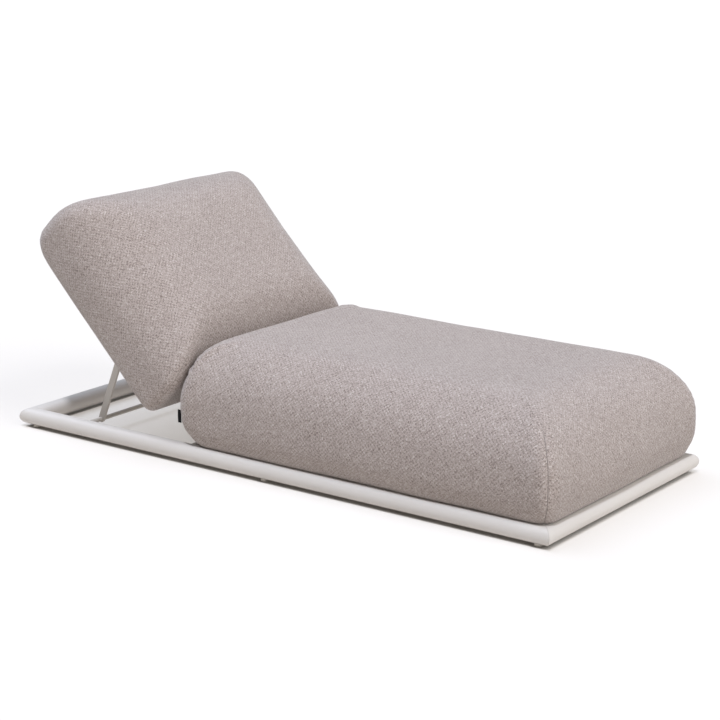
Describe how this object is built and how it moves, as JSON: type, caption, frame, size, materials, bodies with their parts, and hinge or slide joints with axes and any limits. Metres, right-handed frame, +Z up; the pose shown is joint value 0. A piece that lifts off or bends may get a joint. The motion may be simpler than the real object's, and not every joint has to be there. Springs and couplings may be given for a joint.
{
  "type": "garden chaise longue",
  "caption": "Low outdoor chaise longue: mitred tube frame, thick rounded seat cushion and a reclining back cushion held up by a folding prop over notched racks.",
  "frame": {"origin": "centre of the frame's footprint on the floor", "axes": "+X towards the foot end, -Y towards the near side, +Z up"},
  "size_m": [2, 0.872, 0.7599],
  "materials": {
    "frame_coat": "warm off-white satin powder coat on aluminium tube",
    "prop_coat": "satin greige powder coat on steel bar",
    "hinge_coat": "satin greige powder coat on steel plate",
    "pin_steel": "plain turned steel",
    "glide_plastic": "light grey moulded plastic",
    "board": "sealed dark greige outdoor board",
    "cushion_fabric": "speckled greige woven outdoor cloth over foam",
    "tab_fabric": "plain black woven tab"
  },
  "bodies": {
    "base": {"rail_near": "frame_coat", "rail_far": "frame_coat", "rail_foot": "frame_coat", "rail_head": "frame_coat", "glide_near_head": "glide_plastic", "glide_near_middle": "glide_plastic", "glide_near_foot": "glide_plastic", "glide_far_head": "glide_plastic", "glide_far_middle": "glide_plastic", "glide_far_foot": "glide_plastic", "bearer_rear": "frame_coat", "bearer_middle": "frame_coat", "bearer_front": "frame_coat", "seat_deck": "board", "seat_cushion": "cushion_fabric", "label_tab": "tab_fabric", "hinge_post_near": "hinge_coat", "hinge_post_far": "hinge_coat", "hinge_pin_near": "pin_steel", "hinge_pin_far": "pin_steel", "rack_near": "prop_coat", "rack_far": "prop_coat"},
    "back": {"back_board": "board", "back_cushion": "cushion_fabric", "hinge_arm_near": "hinge_coat", "hinge_arm_far": "hinge_coat", "prop_bracket_near": "prop_coat", "prop_bracket_far": "prop_coat", "prop_pin_near": "pin_steel", "prop_pin_far": "pin_steel"},
    "prop": {"prop_leg_near": "prop_coat", "prop_leg_far": "prop_coat", "prop_bar": "prop_coat"}
  },
  "joints": [
    {"name": "back_tilt", "type": "hinge", "parent": "base", "child": "back", "pos_m": [-0.341, 0, 0.218], "axis": [0, 1, 0], "range_deg": [-45.6, 2]},
    {"name": "prop_fold", "type": "hinge", "parent": "back", "child": "prop", "pos_m": [-0.63983, 0, 0.28647], "axis": [0, 1, 0], "range_deg": [-5.2, 113.7]}
  ],
  "couplings": [
    {"joint": "prop_fold", "follows": "back_tilt", "ratio": -2.489}
  ]
}
